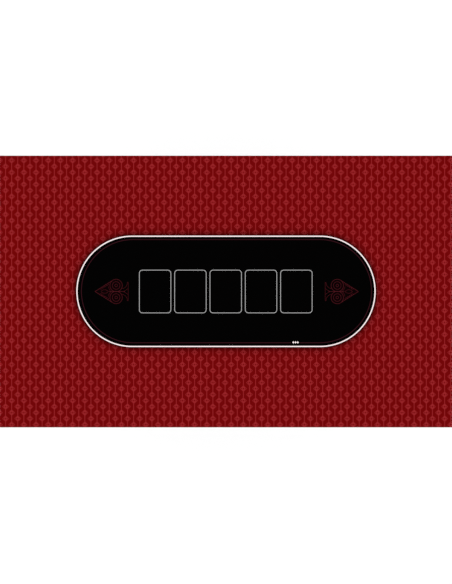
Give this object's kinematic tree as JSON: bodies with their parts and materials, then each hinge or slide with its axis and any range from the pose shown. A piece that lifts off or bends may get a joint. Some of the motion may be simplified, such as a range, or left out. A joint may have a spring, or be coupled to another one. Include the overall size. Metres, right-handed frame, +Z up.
{
  "type": "folding card table",
  "caption": "Rectangular card table: a rubber-backed red mat printed with a black oval layout and card boxes, on a folding-leg table.",
  "frame": {"origin": "on the floor under the middle of the top", "axes": "+X along the table's length, +Y across it towards the back (the top edge of the printed layout), +Z up"},
  "size_m": [1, 0.6, 0.74],
  "materials": {
    "printed_cloth": "fine knitted polyester, printed dark red, black and white, matt with a slight sheen",
    "mat_rubber": "black natural rubber foam, matt, fine waffle texture underneath",
    "board_laminate": "black melamine-faced board, fine pebble texture",
    "edge_band": "black ABS edge band, satin",
    "frame_steel": "black powder coat, fine orange peel",
    "leg_steel": "black powder coat, fine orange peel",
    "plated_steel": "bright zinc-plated pressed steel",
    "rivet_steel": "zinc-plated steel rivet",
    "foot_rubber": "black moulded rubber, matt"
  },
  "bodies": {
    "table_top": {"top_board": "board_laminate", "front_edge_band": "edge_band", "right_edge_band": "edge_band", "back_edge_band": "edge_band", "left_edge_band": "edge_band", "front_rail": "frame_steel", "right_rail": "frame_steel", "back_rail": "frame_steel", "left_rail": "frame_steel", "left_frame_tab": "frame_steel", "right_frame_tab": "frame_steel", "front_left_frame_tab": "frame_steel", "front_right_frame_tab": "frame_steel", "back_left_frame_tab": "frame_steel", "back_right_frame_tab": "frame_steel", "left_front_leg_bracket": "plated_steel", "left_front_pivot_rivet": "rivet_steel", "left_front_stay_anchor": "plated_steel", "left_front_anchor_rivet": "rivet_steel", "left_back_leg_bracket": "plated_steel", "left_back_pivot_rivet": "rivet_steel", "left_back_stay_anchor": "plated_steel", "left_back_anchor_rivet": "rivet_steel", "right_front_leg_bracket": "plated_steel", "right_front_pivot_rivet": "rivet_steel", "right_front_stay_anchor": "plated_steel", "right_front_anchor_rivet": "rivet_steel", "right_back_leg_bracket": "plated_steel", "right_back_pivot_rivet": "rivet_steel", "right_back_stay_anchor": "plated_steel", "right_back_anchor_rivet": "rivet_steel"},
    "playing_mat": {"printed_cloth": "printed_cloth", "rubber_base": "mat_rubber"},
    "left_front_upper_arm": {"left_front_upper_stay": "plated_steel", "left_front_knuckle_rivet": "rivet_steel"},
    "left_front_lower_arm": {"left_front_lower_stay": "plated_steel"},
    "left_back_upper_arm": {"left_back_upper_stay": "plated_steel", "left_back_knuckle_rivet": "rivet_steel"},
    "left_back_lower_arm": {"left_back_lower_stay": "plated_steel"},
    "left_legs": {"left_crossbar": "leg_steel", "left_front_leg": "leg_steel", "left_front_foot": "foot_rubber", "left_front_leg_rivet": "rivet_steel", "left_back_leg": "leg_steel", "left_back_foot": "foot_rubber", "left_back_leg_rivet": "rivet_steel"},
    "right_front_upper_arm": {"right_front_upper_stay": "plated_steel", "right_front_knuckle_rivet": "rivet_steel"},
    "right_front_lower_arm": {"right_front_lower_stay": "plated_steel"},
    "right_back_upper_arm": {"right_back_upper_stay": "plated_steel", "right_back_knuckle_rivet": "rivet_steel"},
    "right_back_lower_arm": {"right_back_lower_stay": "plated_steel"},
    "right_legs": {"right_crossbar": "leg_steel", "right_front_leg": "leg_steel", "right_front_foot": "foot_rubber", "right_front_leg_rivet": "rivet_steel", "right_back_leg": "leg_steel", "right_back_foot": "foot_rubber", "right_back_leg_rivet": "rivet_steel"}
  },
  "joints": [
    {"name": "mat_lift", "type": "slide", "parent": "table_top", "child": "playing_mat", "axis": [0, 0, 1], "range_m": [0, 0.15]},
    {"name": "left_leg_fold", "type": "hinge", "parent": "table_top", "child": "left_legs", "pos_m": [-0.44, 0, 0.694], "axis": [0, -1, 0], "range_deg": [0, 90]},
    {"name": "left_front_lower_stay_turn", "type": "hinge", "parent": "left_legs", "child": "left_front_lower_arm", "pos_m": [-0.44, -0.2455, 0.534], "axis": [0, -1, 0], "range_deg": [0, 56.32]},
    {"name": "left_front_upper_stay_turn", "type": "hinge", "parent": "table_top", "child": "left_front_upper_arm", "pos_m": [-0.2, -0.2455, 0.694], "axis": [0, 1, 0], "range_deg": [0, 33.7]},
    {"name": "left_back_lower_stay_turn", "type": "hinge", "parent": "left_legs", "child": "left_back_lower_arm", "pos_m": [-0.44, 0.2455, 0.534], "axis": [0, -1, 0], "range_deg": [0, 56.32]},
    {"name": "left_back_upper_stay_turn", "type": "hinge", "parent": "table_top", "child": "left_back_upper_arm", "pos_m": [-0.2, 0.2455, 0.694], "axis": [0, 1, 0], "range_deg": [0, 33.7]},
    {"name": "right_leg_fold", "type": "hinge", "parent": "table_top", "child": "right_legs", "pos_m": [0.44, 0, 0.694], "axis": [0, 1, 0], "range_deg": [0, 90]},
    {"name": "right_front_lower_stay_turn", "type": "hinge", "parent": "right_legs", "child": "right_front_lower_arm", "pos_m": [0.44, -0.198, 0.534], "axis": [0, 1, 0], "range_deg": [0, 56.32]},
    {"name": "right_front_upper_stay_turn", "type": "hinge", "parent": "table_top", "child": "right_front_upper_arm", "pos_m": [0.2, -0.198, 0.694], "axis": [0, -1, 0], "range_deg": [0, 33.7]},
    {"name": "right_back_lower_stay_turn", "type": "hinge", "parent": "right_legs", "child": "right_back_lower_arm", "pos_m": [0.44, 0.198, 0.534], "axis": [0, 1, 0], "range_deg": [0, 56.32]},
    {"name": "right_back_upper_stay_turn", "type": "hinge", "parent": "table_top", "child": "right_back_upper_arm", "pos_m": [0.2, 0.198, 0.694], "axis": [0, -1, 0], "range_deg": [0, 33.7]}
  ],
  "couplings": [
    {"joint": "left_front_lower_stay_turn", "follows": "left_leg_fold", "ratio": 0.62567},
    {"joint": "left_front_upper_stay_turn", "follows": "left_leg_fold", "ratio": 0.37433},
    {"joint": "left_back_lower_stay_turn", "follows": "left_leg_fold", "ratio": 0.62567},
    {"joint": "left_back_upper_stay_turn", "follows": "left_leg_fold", "ratio": 0.37433},
    {"joint": "right_front_lower_stay_turn", "follows": "right_leg_fold", "ratio": 0.62567},
    {"joint": "right_front_upper_stay_turn", "follows": "right_leg_fold", "ratio": 0.37433},
    {"joint": "right_back_lower_stay_turn", "follows": "right_leg_fold", "ratio": 0.62567},
    {"joint": "right_back_upper_stay_turn", "follows": "right_leg_fold", "ratio": 0.37433}
  ]
}
